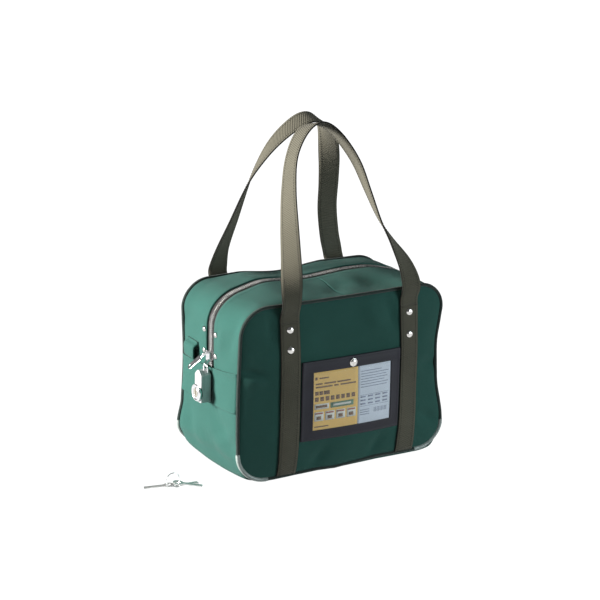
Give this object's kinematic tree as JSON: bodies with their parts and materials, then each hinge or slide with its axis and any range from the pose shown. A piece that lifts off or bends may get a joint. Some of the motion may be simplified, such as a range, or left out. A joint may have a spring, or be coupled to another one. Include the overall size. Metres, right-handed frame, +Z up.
{
  "type": "cash deposit bag",
  "caption": "Soft canvas deposit bag with a zip that runs over the top, a hanging box lock, webbing handles, a card pocket and loose keys.",
  "frame": {"origin": "middle of the bag's underside, on the surface that it stands on", "axes": "+X to the bag's right seen from the front, -Y out of the front panel, +Z up"},
  "size_m": [0.4813, 0.2135, 0.5208],
  "materials": {
    "canvas": "tightly woven sea green canvas, slightly sheened, soft folds",
    "webbing": "khaki olive cotton webbing, ribbed weave, stitched edges",
    "piping": "near-black green bias piping over a round cord",
    "guard_vinyl": "pale clear vinyl tube, glossy",
    "tape": "black woven tape",
    "nickel": "polished nickel plate on pressed steel",
    "zip_metal": "satin silver zip teeth",
    "chrome": "bright plated metal with light handling marks",
    "lock_metal": "satin grey plated case, bright worn edges",
    "plug_metal": "turned satin face",
    "key_metal": "nickel plated flat keys with scuffs",
    "pocket_vinyl": "grained navy black vinyl, semi gloss",
    "card": "printed paper card, ochre and pale lavender panels with plain bars",
    "window_film": "thin clear film, glossy, faint ripples"
  },
  "bodies": {
    "root": {"front_panel": "canvas", "back_panel": "canvas", "bottom_gusset": "canvas", "side_gusset_left_front": "canvas", "side_gusset_left_back": "canvas", "side_gusset_right_front": "canvas", "side_gusset_right_back": "canvas", "side_band_left": "canvas", "side_band_right": "canvas", "side_loop": "canvas", "piping_front": "piping", "piping_back": "piping", "corner_guard_front_left": "guard_vinyl", "corner_guard_front_right": "guard_vinyl", "corner_guard_back_left": "guard_vinyl", "corner_guard_back_right": "guard_vinyl", "seam_binding_front": "tape", "seam_binding_back": "tape", "strap_front_left": "webbing", "strap_front_right": "webbing", "strap_back_left": "webbing", "strap_back_right": "webbing", "strap_rivets_front": "nickel", "strap_rivets_back": "nickel", "strap_rivet_washers": "nickel", "side_rivets": "nickel", "side_rivet_plates": "nickel", "zip_tape_left": "tape", "zip_tape_right": "tape", "zip_teeth_left": "zip_metal", "zip_teeth_right": "zip_metal", "zip_end_stops": "zip_metal", "pocket_backing": "pocket_vinyl", "index_card": "card", "window_film": "window_film", "pocket_frame": "pocket_vinyl", "snap_stud": "nickel"},
    "mouth_front": {"top_gusset_front": "canvas", "zip_tape_front": "tape", "zip_teeth_front": "zip_metal"},
    "mouth_back": {"top_gusset_back": "canvas", "zip_tape_back": "tape", "zip_teeth_back": "zip_metal"},
    "handle_front": {"handle_front": "webbing"},
    "handle_back": {"handle_back": "webbing"},
    "slider": {"zip_slider": "chrome"},
    "pull_tab": {"pull_tab": "chrome"},
    "shackle": {"lock_shackle": "chrome"},
    "lock": {"lock_case": "lock_metal", "key_cylinder": "chrome"},
    "plug": {"lock_plug": "plug_metal"},
    "pocket_lip": {"pocket_lip": "pocket_vinyl", "snap_cap": "nickel"},
    "keys": {"key_ring": "chrome", "key_1": "key_metal", "key_2": "key_metal", "key_3": "key_metal"}
  },
  "joints": [
    {"name": "handle_front_fold", "type": "hinge", "parent": "root", "child": "handle_front", "pos_m": [0.004, -0.104, 0.2476], "axis": [1, 0, 0], "range_deg": [0, 150]},
    {"name": "handle_back_fold", "type": "hinge", "parent": "root", "child": "handle_back", "pos_m": [-0.004, 0.104, 0.2476], "axis": [-1, 0, 0], "range_deg": [0, 150]},
    {"name": "mouth_front_open", "type": "hinge", "parent": "root", "child": "mouth_front", "pos_m": [0, -0.096, 0.27], "axis": [1, 0, 0], "range_deg": [0, 60]},
    {"name": "mouth_back_open", "type": "hinge", "parent": "root", "child": "mouth_back", "pos_m": [0, 0.096, 0.27], "axis": [-1, 0, 0], "range_deg": [0, 60]},
    {"name": "zip_slide", "type": "slide", "parent": "root", "child": "slider", "axis": [0, 0, 1], "range_m": [0, 0.041]},
    {"name": "pull_tab_swing", "type": "hinge", "parent": "slider", "child": "pull_tab", "pos_m": [-0.1845, 0, 0.1795], "axis": [0.7071, 0.7071, 0], "range_deg": [0, 110]},
    {"name": "shackle_swing", "type": "hinge", "parent": "slider", "child": "shackle", "pos_m": [-0.184, -0.004, 0.1645], "axis": [0, 1, 0], "range_deg": [0, 35]},
    {"name": "lock_release", "type": "slide", "parent": "shackle", "child": "lock", "axis": [0, 0, -1], "range_m": [0, 0.008]},
    {"name": "key_turn", "type": "hinge", "parent": "lock", "child": "plug", "pos_m": [-0.197, -0.004, 0.123], "axis": [1, 0, 0], "range_deg": [0, 90]},
    {"name": "pocket_lip_open", "type": "hinge", "parent": "root", "child": "pocket_lip", "pos_m": [0.004, -0.1023, 0.1636], "axis": [1, 0, 0], "range_deg": [0, 35], "stiffness_Nm_per_rad": 0.02},
    {"name": "keys_lift", "type": "slide", "parent": "root", "child": "keys", "axis": [0, 0, 1], "range_m": [0, 0.08]}
  ]
}
